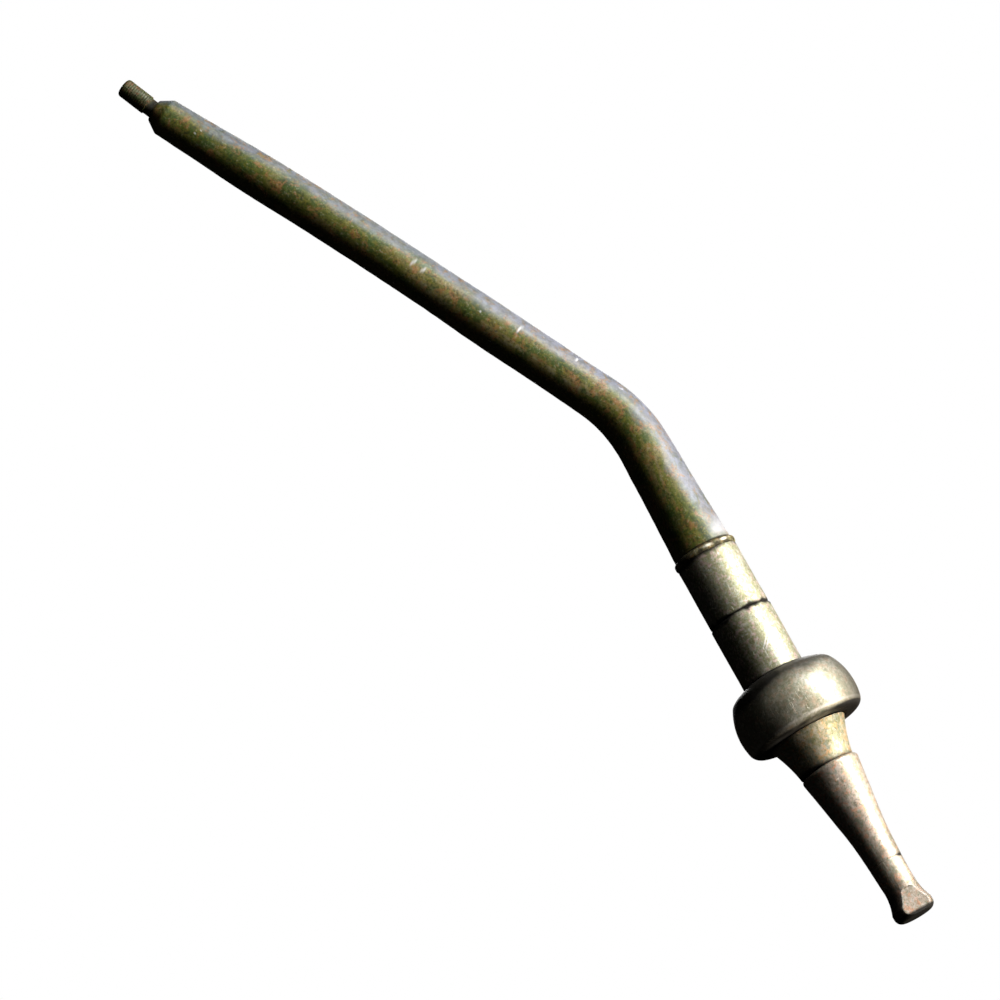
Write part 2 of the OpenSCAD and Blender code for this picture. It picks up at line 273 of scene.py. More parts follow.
class BentLine:
    """The arm's own centre line. z is the distance along it, and the bend leans it towards -X."""

    STEP = 0.05
    # It is worked out this much further, so that the arm's own end is well inside it
    PAST_END = 60.0

    def __init__(self):
        self.bend_end = BEND_Z + math.radians(BEND_ANGLE) * BEND_R
        self.slow_start = self.bend_end + LOW_RUN + BELLY_RUN + WAIST_RUN
        self.slow_end = self.slow_start + math.radians(SLOW_ANGLE) * SLOW_R
        self.end = self.slow_end + TOP_RUN + TAPER_RUN + NOSE_LEN
        self.s = np.arange(0.0, self.end + self.PAST_END, self.STEP)
        self.lean = np.clip((self.s - BEND_Z) / BEND_R, 0.0, math.radians(BEND_ANGLE))
        self.lean += np.clip((self.s - self.slow_start) / SLOW_R, 0.0, math.radians(SLOW_ANGLE))
        mid_lean = (self.lean[1:] + self.lean[:-1]) / 2
        self.x = STEM_X - np.concatenate([[0.0], np.cumsum(np.sin(mid_lean) * self.STEP)])
        self.z = np.concatenate([[0.0], np.cumsum(np.cos(mid_lean) * self.STEP)])

    def place(self, r, angle, z):
        lean = np.interp(z, self.s, self.lean)
        cx, cz = np.interp(z, self.s, self.x), np.interp(z, self.s, self.z)
        out = r * np.cos(angle)
        return np.stack([cx + out * np.cos(lean), r * np.sin(angle), cz + out * np.sin(lean)], 1)


def on_axis(line, z):
    """The point of a line's own axis at z."""
    return line.place(np.zeros(1), np.zeros(1), np.array([z]))[0]


def turned(name, body, outline, line, around, step, shape, marks, stands_for, finish,
           closed=False):
    """A piece turned about a line, with its surface moved by shape(flat, r, angle, z), in mm.

    It has around points to the turn, step mm apart or less along the outline. flat holds each
    point as if the line were straight, and rides along for the materials."""
    rings = smoothed(outline, step, closed)
    poles = [] if closed else [i for i in (0, len(rings) - 1) if rings[i][0] < 1e-6]
    angles = np.arange(around) * 2 * math.pi / around
    rows = np.array([1 if i in poles else around for i in range(len(rings))])
    first = np.concatenate([[0], np.cumsum(rows)[:-1]])
    r, z = np.repeat(rings[:, 0], rows), np.repeat(rings[:, 1], rows)
    angle = np.concatenate([angles[:n] for n in rows])
    flat = np.stack([r * np.cos(angle), r * np.sin(angle), z], 1)
    r, angle, z = shape(flat, r, angle, z)
    points = line.place(r, angle, z)
    faces = []
    n = np.arange(around)
    m = (n + 1) % around
    for i in range(len(rings) if closed else len(rings) - 1):
        j = (i + 1) % len(rings)
        if rows[i] == 1:
            band = (np.full(around, first[i]), first[j] + m, first[j] + n)
        elif rows[j] == 1:
            band = (first[i] + n, first[i] + m, np.full(around, first[j]))
        else:
            band = (first[i] + n, first[i] + m, first[j] + m, first[j] + n)
        faces += np.stack(band, 1).tolist()
    build(name, body, points, faces, flat, angle, z, marks, stands_for, finish)


def build(name, body, points, faces, flat, angle, z, marks, stands_for, finish):
    """Makes a piece of points in mm, with what its material needs to know at each point."""
    mesh = bpy.data.meshes.new(name)
    if inside_out(points, faces):
        faces = [face[::-1] for face in faces]
    mesh.from_pydata((points * MM).tolist(), [], faces)
    mesh.update()
    mesh.polygons.foreach_set("use_smooth", [True] * len(mesh.polygons))
    lie = mesh.attributes.new("lie", "FLOAT_VECTOR", "POINT")
    lie.data.foreach_set("vector", flat.astype(np.float32).ravel())
    values = marks(flat, angle, z)
    # The grime attribute carries painted shade as well as grime, and the bare one painted
    # highlights as well as bare metal
    for key in ("grime", "bare", "worn"):
        data = np.clip(values.get(key, np.zeros(len(points))), 0.0, 1.0)
        mesh.attributes.new(key, "FLOAT", "POINT").data.foreach_set(
            "value", data.astype(np.float32))
    piece = bpy.data.objects.new(name, mesh)
    bpy.context.scene.collection.objects.link(piece)
    piece.data.materials.append(finish)
    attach(piece, body)
    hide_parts(*stands_for)


def inside_out(points, faces):
    """True if the faces were made facing inwards, as their signed volume tells."""
    total = 0.0
    for count in {len(face) for face in faces}:
        ring = points[np.array([face for face in faces if len(face) == count])]
        for n in range(1, count - 1):
            total += np.einsum("ij,ij->", ring[:, 0], np.cross(ring[:, n], ring[:, n + 1]))
    return total < 0


# ---------------------------------------------------------------- materials


# The dark colour for grime and for painted shade
GRIME_AND_SHADE = (0.012, 0.010, 0.006)
# How high the fine bumps are, in mm, and how much of that shows
STEEL_BUMP, PAINT_BUMP = 0.07, 0.05
BUMP_STRENGTH = 0.8


class Nodes:
    """Short names for making the nodes of one tree."""

    def __init__(self, tree):
        self.tree = tree

    def link(self, value, socket):
        if isinstance(value, bpy.types.NodeSocket):
            self.tree.links.new(value, socket)
        else:
            socket.default_value = value

    def level(self, fac, low, high, to_low=0.0, to_high=1.0):
        node = self.tree.nodes.new("ShaderNodeMapRange")
        node.interpolation_type = "SMOOTHSTEP"
        self.link(fac, node.inputs["Value"])
        for socket, value in zip(("From Min", "From Max", "To Min", "To Max"),
                                 (low, high, to_low, to_high)):
            node.inputs[socket].default_value = value
        return node.outputs["Result"]

    def math(self, kind, a, b):
        node = self.tree.nodes.new("ShaderNodeMath")
        node.operation = kind
        self.link(a, node.inputs[0])
        self.link(b, node.inputs[1])
        return node.outputs["Value"]

    def rays(self, *kinds):
        """1 for a ray of one of these kinds, otherwise 0."""
        path = self.tree.nodes.new("ShaderNodeLightPath")
        found = path.outputs[kinds[0]]
        for kind in kinds[1:]:
            found = self.math("MAXIMUM", found, path.outputs[kind])
        return found

    def glow(self, kind, colour, strength):
        node = self.tree.nodes.new(kind)
        node.inputs["Color"].default_value = (*colour, 1)
        node.inputs["Strength"].default_value = strength
        return node

    def show(self, fac, first, second, output):
        """Puts a mix of two shader nodes on the output, all of the second where fac is 1."""
        choose = self.tree.nodes.new("ShaderNodeMixShader")
        self.link(fac, choose.inputs["Fac"])
        self.link(first.outputs[0], choose.inputs[1])
        self.link(second.outputs[0], choose.inputs[2])
        self.link(choose.outputs[0], self.tree.nodes[output].inputs["Surface"])


class Mix(Nodes):
    """The nodes of one of the part's own materials, whose patterns are in mm."""

    def __init__(self, name, coords="lie"):
        self.material = bpy.data.materials.new(name)
        self.material.use_nodes = True
        super().__init__(self.material.node_tree)
        if coords == "lie":
            at = self.tree.nodes.new("ShaderNodeAttribute")
            at.attribute_name = "lie"
            self.co = at.outputs["Vector"]
        else:
            at = self.tree.nodes.new("ShaderNodeTexCoord")
            self.co = self.scaled((1 / MM,) * 3, at.outputs["Object"])

    def scaled(self, scale, source=None):
        node = self.tree.nodes.new("ShaderNodeMapping")
        node.vector_type = "POINT"
        node.inputs["Scale"].default_value = scale
        self.link(source or self.co, node.inputs["Vector"])
        return node.outputs["Vector"]

    def attribute(self, name):
        node = self.tree.nodes.new("ShaderNodeAttribute")
        node.attribute_name = name
        return node.outputs["Fac"]

    def noise(self, scale, detail, roughness, distortion=0.0, vector=None):
        node = self.tree.nodes.new("ShaderNodeTexNoise")
        self.link(vector or self.co, node.inputs["Vector"])
        node.inputs["Scale"].default_value = scale
        node.inputs["Detail"].default_value = detail
        node.inputs["Roughness"].default_value = roughness
        node.inputs["Distortion"].default_value = distortion
        return node.outputs["Fac"]

    def ramp(self, fac, *stops):
        node = self.tree.nodes.new("ShaderNodeValToRGB")
        self.link(fac, node.inputs["Fac"])
        band = node.color_ramp
        for n, (at, colour) in enumerate(stops):
            stop = band.elements[n] if n < 2 else band.elements.new(at)
            stop.position = at
            stop.color = (*colour, 1.0)
        return node.outputs["Color"]

    def blend(self, fac, under, over):
        node = self.tree.nodes.new("ShaderNodeMix")
        node.data_type = "RGBA"
        for socket, value in ((node.inputs["Factor"], fac), (node.inputs[6], under),
                              (node.inputs[7], over)):
            if isinstance(value, tuple):
                value = (*value, 1.0)
            self.link(value, socket)
        return node.outputs[2]

    def patches(self, field, start, full, amount, under, over):
        """Lays over on under where field passes start, up to amount of it at full."""
        return self.blend(self.level(field, start, full, 0.0, amount), under, over)

    def bump(self, height, distance):
        node = self.tree.nodes.new("ShaderNodeBump")
        node.inputs["Strength"].default_value = BUMP_STRENGTH
        node.inputs["Distance"].default_value = distance * MM
        self.link(height, node.inputs["Height"])
        return node.outputs["Normal"]

    def shade(self, colour, roughness, normal, metallic):
        shader = self.tree.nodes["Principled BSDF"]
        for name, value in (("Base Color", colour), ("Roughness", roughness), ("Normal", normal),
                            ("Metallic", metallic)):
            self.link(value, shader.inputs[name])
        return self.material


def worn_metal(name, dark, mid, light, warm, metallic, rough, patch=0.07, fleck=0.48,
               bare=(0.80, 0.78, 0.74), cool=(0.34, 0.37, 0.25), coords="lie"):
    """Handled bare metal: broad tints, fine mottling, turning marks, scratches, grime, painted
    shade and highlights.

    patch and fleck are how many broad and small tints there are to the mm."""
    m = Mix(name, coords)
    stretched = m.scaled((1.0, 1.0, 0.5))
    broad = m.noise(patch, 5.0, 0.62, 0.6, stretched)
    colour = m.ramp(broad, (0.33, dark), (0.5, mid), (0.68, light))
    flecks = m.noise(fleck, 5.0, 0.62)
    colour = m.patches(flecks, 0.50, 0.60, 0.9, colour, warm)
    green = m.noise(fleck * 1.4, 4.0, 0.6, 0.7, m.scaled((1.0, 1.0, 0.8)))
    colour = m.patches(green, 0.51, 0.61, 0.8, colour, cool)
    speckle = m.noise(fleck * 1.9, 3.0, 0.6, 0.3, m.scaled((1.0, 1.0, 0.9)))
    colour = m.patches(speckle, 0.53, 0.62, 0.32, colour, bare)
    colour = m.patches(speckle, 0.46, 0.38, 0.5, colour, dark)
    fine = m.noise(fleck * 2.6, 4.0, 0.65)
    colour = m.patches(fine, 0.47, 0.34, 0.75, colour, dark)
    turning = m.noise(1.0, 3.0, 0.6, 0.0, m.scaled((0.05, 0.05, 5.0)))
    scratch_field = m.noise(1.0, 2.0, 0.5, 0.4, m.scaled((2.2, 2.2, 0.12)))
    scratches = m.level(scratch_field, 0.66, 0.70)
    colour = m.blend(m.math("MULTIPLY", scratches, 0.35), colour, bare)
    if coords == "lie":
        # Grime here includes painted shade, and bare includes painted highlights
        grime, bright = m.attribute("grime"), m.attribute("bare")
        colour = m.blend(bright, colour, bare)
        colour = m.blend(grime, colour, GRIME_AND_SHADE)
    spread = m.level(m.noise(patch * 2.1, 4.0, 0.6), 0.3, 0.7, rough - 0.07, rough + 0.10)
    spread = m.math("ADD", spread, m.level(flecks, 0.35, 0.65, -0.06, 0.08))
    if coords == "lie":
        spread = m.math("ADD", spread, m.math("MULTIPLY", grime, 0.35))
    height = m.math("ADD", m.math("MULTIPLY", fine, 0.6), m.math("MULTIPLY", turning, 0.35))
    height = m.math("ADD", height, m.math("MULTIPLY", flecks, 0.6))
    height = m.math("SUBTRACT", height, m.math("MULTIPLY", scratches, 0.5))
    return m.shade(colour, spread, m.bump(height, STEEL_BUMP), metallic)


DEEP_OLIVE, OLIVE = (0.032, 0.048, 0.006), (0.10, 0.115, 0.012)
BROWN, KHAKI = (0.18, 0.14, 0.04), (0.21, 0.20, 0.11)
RUST, MOSS, OCHRE = (0.27, 0.125, 0.04), (0.045, 0.085, 0.012), (0.19, 0.165, 0.02)
SOOT, CHALK = (0.03, 0.036, 0.008), (0.38, 0.35, 0.24)
# The rubbed band's two greys are pale and cool partly as a painted sheen
RUBBED_SHEEN_DARK, RUBBED_SHEEN, NICK = (0.125, 0.13, 0.15), (0.215, 0.225, 0.29), (0.85, 0.84, 0.84)


def old_paint(name):
    """Olive-grey paint worn thin over browned steel, with rust specks, pale nicks and a rubbed
    grey band that is partly a painted sheen.
    """
    m = Mix(name)
    stretched = m.scaled((1.0, 1.0, 0.35))
    broad = m.noise(0.085, 5.0, 0.62, 0.8, stretched)
    colour = m.ramp(broad, (0.37, DEEP_OLIVE), (0.47, OLIVE), (0.56, BROWN), (0.68, KHAKI))
    rust = m.noise(0.24, 5.0, 0.66, 0.5)
    colour = m.patches(rust, 0.51, 0.61, 0.8, colour, RUST)
    green = m.noise(0.15, 5.0, 0.66, 0.3, m.scaled((1.0, 1.0, 0.7)))
    colour = m.patches(green, 0.51, 0.60, 0.8, colour, MOSS)
    ochre = m.noise(0.5, 4.0, 0.62, 0.4)
    colour = m.patches(ochre, 0.52, 0.62, 0.6, colour, OCHRE)
    fleck = m.noise(0.9, 5.0, 0.72)
    colour = m.patches(fleck, 0.49, 0.38, 0.8, colour, SOOT)
    colour = m.patches(fleck, 0.55, 0.66, 0.45, colour, CHALK)
    # The rubbed band: wear, and partly a painted sheen
    worn = m.math("MULTIPLY", m.attribute("worn"), m.level(rust, 0.64, 0.5, 0.35, 1.0))
    rubbed = m.ramp(m.noise(0.35, 5.0, 0.65), (0.35, RUBBED_SHEEN_DARK), (0.6, RUBBED_SHEEN))
    colour = m.blend(worn, colour, rubbed)
    # Grime here includes painted shade, and bare includes painted highlights
    grime, bright = m.attribute("grime"), m.attribute("bare")
    colour = m.blend(bright, colour, NICK)
    colour = m.blend(grime, colour, GRIME_AND_SHADE)
    spread = m.level(m.noise(0.3, 5.0, 0.65), 0.3, 0.7, 0.38, 0.54)
    spread = m.math("ADD", spread, m.math("MULTIPLY", grime, 0.3))
    height = m.math("ADD", m.math("MULTIPLY", fleck, 0.7), m.math("MULTIPLY", broad, 0.6))
    return m.shade(colour, spread, m.bump(height, PAINT_BUMP), 0.05)


paint = old_paint("arm_paint")
stud_steel = worn_metal(
    "stud_steel", dark=(0.018, 0.02, 0.004), mid=(0.05, 0.052, 0.008), light=(0.10, 0.10, 0.05),
    warm=(0.13, 0.05, 0.012), metallic=0.1, rough=0.58, patch=0.25, fleck=0.5,
    bare=(0.2, 0.18, 0.10), cool=(0.04, 0.07, 0.01))
ring_brass = worn_metal(
    "ring_brass", dark=(0.10, 0.08, 0.02), mid=(0.30, 0.25, 0.09), light=(0.48, 0.41, 0.19),
    warm=(0.40, 0.24, 0.08), metallic=0.45, rough=0.42, patch=0.3, fleck=0.6,
    bare=(0.95, 0.90, 0.72), cool=(0.20, 0.22, 0.06))
shank_steel = worn_metal(
    "shank_steel", dark=(0.18, 0.18, 0.08), mid=(0.41, 0.39, 0.23), light=(0.57, 0.53, 0.47),
    warm=(0.56, 0.40, 0.35), metallic=0.5, rough=0.45)
ball_steel = worn_metal(
    "ball_steel", dark=(0.36, 0.33, 0.20), mid=(0.61, 0.56, 0.42), light=(0.70, 0.67, 0.58),
    warm=(0.60, 0.45, 0.31), metallic=0.35, rough=0.28, fleck=0.42, bare=(0.97, 0.90, 0.76))
collar_steel = worn_metal(
    "collar_steel", dark=(0.27, 0.27, 0.12), mid=(0.68, 0.58, 0.38), light=(0.86, 0.72, 0.53),
    warm=(0.80, 0.47, 0.23), metallic=0.5, rough=0.35)
finger_steel = worn_metal(
    "finger_steel", dark=(0.32, 0.27, 0.18), mid=(0.70, 0.57, 0.45), light=(0.84, 0.71, 0.59),
    warm=(0.80, 0.43, 0.26), metallic=0.45, rough=0.36)
pin_look = {"dark": (0.12, 0.10, 0.06), "mid": (0.36, 0.33, 0.27), "light": (0.55, 0.52, 0.46),
            "warm": (0.3, 0.2, 0.1), "metallic": 0.8, "rough": 0.4}
pin_steel = worn_metal("pin_steel", **pin_look)
# For the solids' own meshes, which have no attributes
dowel_steel = worn_metal("dowel_steel", **pin_look, coords="object")
bush_bronze = worn_metal(
    "bush_bronze", dark=(0.25, 0.13, 0.04), mid=(0.55, 0.36, 0.15), light=(0.7, 0.5, 0.25),
    warm=(0.4, 0.3, 0.1), metallic=0.9, rough=0.35, coords="object")

# ---------------------------------------------------------------- pieces

stem = Line((STEM_X, 0, 0))
bent = BentLine()
# The finger's axis leans about the middle of its shoulder, where its z is the frame's own
finger_lean = math.radians(FINGER_LEAN)
finger_dir = np.array([-math.sin(finger_lean), 0, math.cos(finger_lean)])
finger = Line(np.array([0, 0, FINGER_Z]) - finger_dir * FINGER_Z, finger_dir)


def dents(size, depth, seed, fine=0.0):
    """Moves a turned surface in and out by up to about depth mm."""

    def shape(flat, r, angle, z):
        move = depth * rough_noise(flat * (1, 1, 0.6), size, seed)
        if fine:
            move = move + fine * rough_noise(flat, 1.6, seed + 9, 2)
        return np.maximum(r + np.where(r > 1.0, move, 0.0), 0.0), angle, z

    return shape


# The arm: places along its centre line, with the radius at each
arm_stations = (
    (FOOT_Z + FOOT_TAPER_RUN, 11.2), (FOOT_Z + (FOOT_TAPER_RUN + FOOT_EVEN_RUN), 10.95),
    (BEND_Z, 10.6), (132.0, 10.35), (142.0, 9.95), (bent.bend_end, 9.6),
    (bent.bend_end + LOW_RUN, 9.45), (bent.bend_end + (LOW_RUN + BELLY_RUN), 9.5),
    (bent.slow_start, 9.1), (bent.slow_end, 9.05), (bent.slow_end + TOP_RUN, 9.05),
)
STATION_ROUND = 6.0
nose_start = bent.slow_end + (TOP_RUN + TAPER_RUN)
# It ends 1 mm down the stem, hidden in the upper sleeve
arm_outline = [(0.0, FOOT_Z - 1.0), (STEM_R, FOOT_Z - 1.0), (STEM_R, FOOT_Z, 0.3),
               (FOOT_R, FOOT_Z, 0.8)]
arm_outline += [(r, z, STATION_ROUND) for z, r in arm_stations]
arm_outline += [(ARM_END_R, nose_start + 0.9, 0.6), (STUD_R + NOSE_RIM, bent.end - 0.2, 0.3),
                (STUD_R - 0.1, bent.end), (0.0, bent.end)]


def arm_shape(flat, r, angle, z):
    """Long shallow dents and finer ones, which fade out at the foot."""
    move = 0.16 * rough_noise(flat * (1, 1, 0.25), 14.0, 11)
    move += 0.05 * rough_noise(flat, 3.0, 21, 2)
    keep = np.clip((z - FOOT_Z) / 3.0, 0, 1) * np.where(r > 5.0, 1.0, 0.0)
    return r + move * keep, angle, z


# The side of the arm that hands have rubbed grey, and that carries a painted sheen, in radians
# round it from +X
SHEEN_WORN_FROM, SHEEN_WORN_TO = -1.5, 0.5
# Pale nicks: distance along the arm, length in mm and place round it
ARM_NICKS = ((191.0, 3.4, 4.95), (241.0, 3.2, 4.8), (236.0, 2.4, 4.75), (166.0, 2.0, 5.3))


def arm_marks(flat, angle, z):
    """Grime at both ends, the rubbed side with its painted sheen, rubbed bright and a painted
    highlight at the foot, and nicks.
    """
    grime = 0.75 * near(z, FOOT_Z, 1.0) + 0.7 * near(z, bent.end, 1.6)
    nicks = np.clip(noise(flat * (1, 1, 0.8), 1.1, 51) * noise(flat, 9.0, 52) - 0.52, 0, 1) * 6
    for at, length, spin in ARM_NICKS:
        nicks = np.maximum(nicks, near(z + 0.1 * flat[:, 0], at, 0.6)
                           * near(angle, spin, length / 10.0))
    around = angle - 2 * math.pi * (angle > math.pi)
    edge = around + 0.22 * rough_noise(flat * (1, 1, 0.5), 6.0, 53)
    # Rubbed grey on the side facing the lamps, partly a painted sheen
    worn = (np.clip((edge - SHEEN_WORN_FROM) / 0.45, 0, 1) * np.clip((SHEEN_WORN_TO - edge) / 0.5, 0, 1)
            * np.clip((z - FOOT_Z) / 3.0, 0.4, 1) * (0.75 + 0.25 * near(z, 150.0, 110.0)))
    # Rubbed bright at the foot, and partly a painted highlight there
    polished_and_highlight = 0.45 * worn * near(z, FOOT_Z + 2.0, 10.0)
    return {"grime": grime, "bare": np.clip(nicks + polished_and_highlight, 0, 0.8), "worn": 0.9 * worn}


turned("upper_arm_skin", "arm", arm_outline, bent, around=144, step=0.7, shape=arm_shape,
       marks=arm_marks, stands_for=("upper_arm",), finish=paint)

# The stud, with its worn thread. It ends 2 mm down in the arm, and its undercut is black
STUD_START = -2.0
band_r = UNDERCUT_R - 0.25
stud_tilt = math.radians(BEND_ANGLE + SLOW_ANGLE - STUD_LEAN)
stud_line = Line(on_axis(bent, bent.end), (-math.sin(stud_tilt), 0, math.cos(stud_tilt)))
stud_outline = [(0.0, STUD_START), (band_r, STUD_START), (band_r, UNDERCUT_LEN, 0.2),
                (STUD_R, UNDERCUT_LEN + 0.2, 0.25)]
stud_outline += arc((STUD_R - STUD_ROUND, STUD_END - STUD_ROUND), STUD_ROUND, 0, 90)
stud_outline += [(0.0, STUD_END)]
# The rounding's last point may pass the solid's end by a hair
stud_outline = [(r, min(z, STUD_END), *rest) for r, z, *rest in stud_outline]


def stud_shape(flat, r, angle, z):
    """The thread, worn more in places, on all but the ends of the stud's threaded length."""
    wave = 0.5 + 0.5 * np.cos(2 * math.pi * (z / THREAD_PITCH) - angle)
    worn = np.clip(0.6 + 0.6 * noise(flat, 4.0, 71), 0.15, 1.0)
    on_thread = np.clip((z - UNDERCUT_LEN - 0.4) / 0.8, 0, 1) * np.clip((STUD_END - 1.2 - z), 0, 1)
    cut = THREAD_DEPTH * wave * worn * on_thread * np.where(r > 3.0, 1.0, 0.0)
    return r - cut - 0.04 * np.abs(noise(flat, 2.5, 72)) * (r > 1), angle, z


def stud_marks(flat, angle, z):
    """The black band at the stud's foot."""
    return {"grime": 0.95 * near(z, 1.2, 2.4)}


turned("knob_stud_thread", "arm", stud_outline, stud_line, around=72, step=0.12,
       shape=stud_shape, marks=stud_marks, stands_for=("knob_stud",), finish=stud_steel)

# The ring: a split brass bead, closed but for its gap at the back
RING_H = FOOT_Z - RING_Z
ring_outline = [(SEAT_R, 0.0), (RING_R - RING_EDGE, 0.0, 0.3),
                (RING_R - 0.05, RING_SHOULDER, 0.5), (RING_R, 0.5 * RING_H, 1.0),
                (RING_R - 0.05, RING_H - RING_SHOULDER, 0.5),
                (RING_R - RING_EDGE, RING_H, 0.3), (SEAT_R, RING_H)]
RING_STEPS = 200
# Where highlights are painted on it, in radians round from +X
RING_GLINTS = (4.62, 5.2)


def ring_marks(flat, angle, z):
    """Grime along both edges and in dull patches, and painted highlights between them."""
    edge = near(z, RING_Z + 0.1, 1.3) + 0.9 * near(z, FOOT_Z - 0.1, 1.0)
    edge *= np.clip(0.75 + 0.6 * noise(flat, 4.0, 33), 0, 1)
    # Painted highlights, faint along the bead and strong at the glints
    glint = 0.15 * near(z, RING_Z + 1.9, 0.7) * np.clip(noise(flat, 3.2, 34) * 2, 0, 1)
    around = angle - 2 * math.pi * (angle > 2 * math.pi)
    for spin in RING_GLINTS:
        glint += near(around, spin, 0.22) * near(z, RING_Z + 1.7, 1.0)
    dull = np.clip(0.55 + 1.1 * noise(flat, 2.4, 35), 0, 0.9) * np.clip(1 - glint, 0, 1)
    return {"grime": np.maximum(edge, dull), "bare": glint}


def ring_piece():
    """Sweeps the ring's outline round the stem from one side of the gap to the other."""
    half_gap = RING_GAP / RING_R / 2
    rings = smoothed(ring_outline, 0.25, True)
    start, end = math.pi / 2 + half_gap, math.pi / 2 - half_gap + 2 * math.pi
    angles = np.linspace(start, end, RING_STEPS)
    r = np.repeat(rings[:, 0][None, :], RING_STEPS, 0).ravel()
    z = np.repeat(rings[:, 1][None, :], RING_STEPS, 0).ravel() + RING_Z
    angle = np.repeat(angles[:, None], len(rings), 1).ravel()
    flat = np.stack([r * np.cos(angle), r * np.sin(angle), z], 1)
    proud = r > SEAT_R + 0.6
    move = np.where(proud, -0.12 * np.abs(rough_noise(flat, 5.0, 31)), 0.0)
    points = stem.place(r + move, angle, z)
    n = len(rings)
    faces = [(i * n + k, i * n + (k + 1) % n, (i + 1) * n + (k + 1) % n, (i + 1) * n + k)
             for i in range(RING_STEPS - 1) for k in range(n)]
    faces += [tuple(range(n)), tuple(range((RING_STEPS - 1) * n, RING_STEPS * n))[::-1]]
    build("retaining_ring_bead", "arm", points, faces, flat, angle, z, ring_marks,
          ("retaining_ring",), ring_brass)


ring_piece()

# Sleeves, each a closed shell round the stem, with worn bevels where they meet. The lower
# one's bevel is its width, then its height
PRESS_GAP = 0.02
UPPER_BEVEL = 0.5
LOWER_BEVEL = (0.7, 0.6)
bore = STEM_R + PRESS_GAP
upper_outline = [
    (bore, LINE_Z), (UPPER_R - UPPER_BEVEL, LINE_Z, 0.15), (UPPER_R, LINE_Z + UPPER_BEVEL, 0.3),
    (UPPER_R, RING_Z, 0.12), (SEAT_R, RING_Z), (SEAT_R, FOOT_Z), (bore, FOOT_Z),
]
lower_outline = [
    (bore, SLEEVE_Z), (LOWER_R, SLEEVE_Z, 0.15), (LOWER_R, LINE_Z - LOWER_BEVEL[1], 0.4),
    (LOWER_R - LOWER_BEVEL[0], LINE_Z, 0.15), (bore, LINE_Z),
]


# How deep the edge is chewed, and how far the surface may stand out at most
CHEW_DEPTH, MOST_OUT = 0.28, 0.08


def sleeve_shape(seed):
    """Shallow dents, and an edge chewed where the sleeves meet."""

    def shape(flat, r, angle, z):
        outer = r > SEAT_R + 0.8
        move = 0.10 * rough_noise(flat * (1, 1, 0.5), 11.0, seed)
        chewed = near(z, LINE_Z, 1.6) * np.clip(noise(flat, 4.5, seed + 5), -0.1, 1.0)
        move = move - CHEW_DEPTH * chewed
        return r + np.where(outer, np.minimum(move, MOST_OUT), 0.0), angle, z

    return shape


# A notch worn in the line between the sleeves, in radians round from +X, and two bright
# scratches on the lower one: their middle, and how far each is from it along the stem
LINE_NOTCH = 5.75
SCRATCH_ANGLE, SCRATCH_Z = 4.70, 27.6
SCRATCHES = (-0.7, 0.9)


def upper_marks(flat, angle, z):
    """The dark line under the sleeve, its notch, grime under the ring, and painted shade on the
    shaded side and to the right.
    """
    ragged = 0.7 * noise(flat, 2.2, 43)
    line = 1.2 * near(z + ragged, LINE_Z, 2.0)
    line *= np.clip(0.85 + 0.5 * noise(flat, 4.0, 42), 0.3, 1.0)
    line = np.maximum(line, near(angle, LINE_NOTCH, 0.2) * near(z, LINE_Z, 2.4))
    under_ring = near(z + 0.4 * noise(flat, 3.0, 45), RING_Z, 2.0)
    under_ring *= np.clip(0.75 + 0.6 * noise(flat, 5.0, 48), 0, 1)
    # Painted shade on the right side
    side = 0.36 * right_side_shade(angle, -0.1, 0.9)
    return {"grime": painted_side_shade(flat, angle) + line + under_ring + side}


def lower_marks(flat, angle, z):
    """The dark line over the sleeve, its notch, grime at the half-ball, painted shade on the
    shaded side and to the right, and the scratches.
    """
    ragged = 0.7 * noise(flat, 2.2, 46)
    line = 1.2 * near(z + ragged, LINE_Z, 2.1)
    line *= np.clip(0.8 + 0.5 * noise(flat, 4.0, 47), 0.3, 1.0)
    line = np.maximum(line, near(angle, LINE_NOTCH, 0.16) * near(z, LINE_Z, 2.0))
    scratch = np.zeros(len(z))
    along = (angle - SCRATCH_ANGLE) * LOWER_R
    for shift in SCRATCHES:
        across = (z - SCRATCH_Z - shift) - along * 1.1
        scratch += near(across, 0.0, 0.5) * near(along, 0.0, 3.2)
    # Painted shade on the right side
    side = 0.42 * right_side_shade(angle, -0.15, 1.0)
    return {"grime": painted_side_shade(flat, angle) + line + 0.25 * near(z, SLEEVE_Z, 1.2) + side,
            "bare": scratch}


turned("upper_sleeve_shell", "arm", upper_outline, stem, around=176, step=0.3,
       shape=sleeve_shape(seed=41), marks=upper_marks, stands_for=("upper_sleeve",),
       finish=shank_steel, closed=True)
turned("lower_sleeve_shell", "arm", lower_outline, stem, around=220, step=0.3,
       shape=sleeve_shape(seed=44), marks=lower_marks, stands_for=("lower_sleeve",),
       finish=shank_steel, closed=True)

# The half-ball, with its bore, recesses and underside relief: a true sphere from the rim's
# rounding up to true_edge, then a curve that leaves it at its own slope
true_way = (math.cos(math.radians(BALL_TRUE_ANGLE)), math.sin(math.radians(BALL_TRUE_ANGLE)))
true_edge = (BALL_R * true_way[0], BALL_R * true_way[1])
rise = (BALL_TOP - true_edge[1]) / true_way[0]
tangent = (-true_way[1] * rise * BALL_SHOULDER, true_way[0] * rise * BALL_SHOULDER)
rim_reach = BALL_R - BALL_RIM_R
rim_centre = (math.sqrt(rim_reach**2 - (BALL_BOTTOM - BALL_RIM_R) ** 2), BALL_RIM_R - BALL_BOTTOM)
rim_angle = math.degrees(math.atan2(rim_centre[1], rim_centre[0]))
ball_outline = [(RELIEF_R, -BALL_BOTTOM + RELIEF_DEPTH), (RELIEF_R, -BALL_BOTTOM, 0.15)]
ball_outline += arc(rim_centre, BALL_RIM_R, -90, rim_angle, 20)
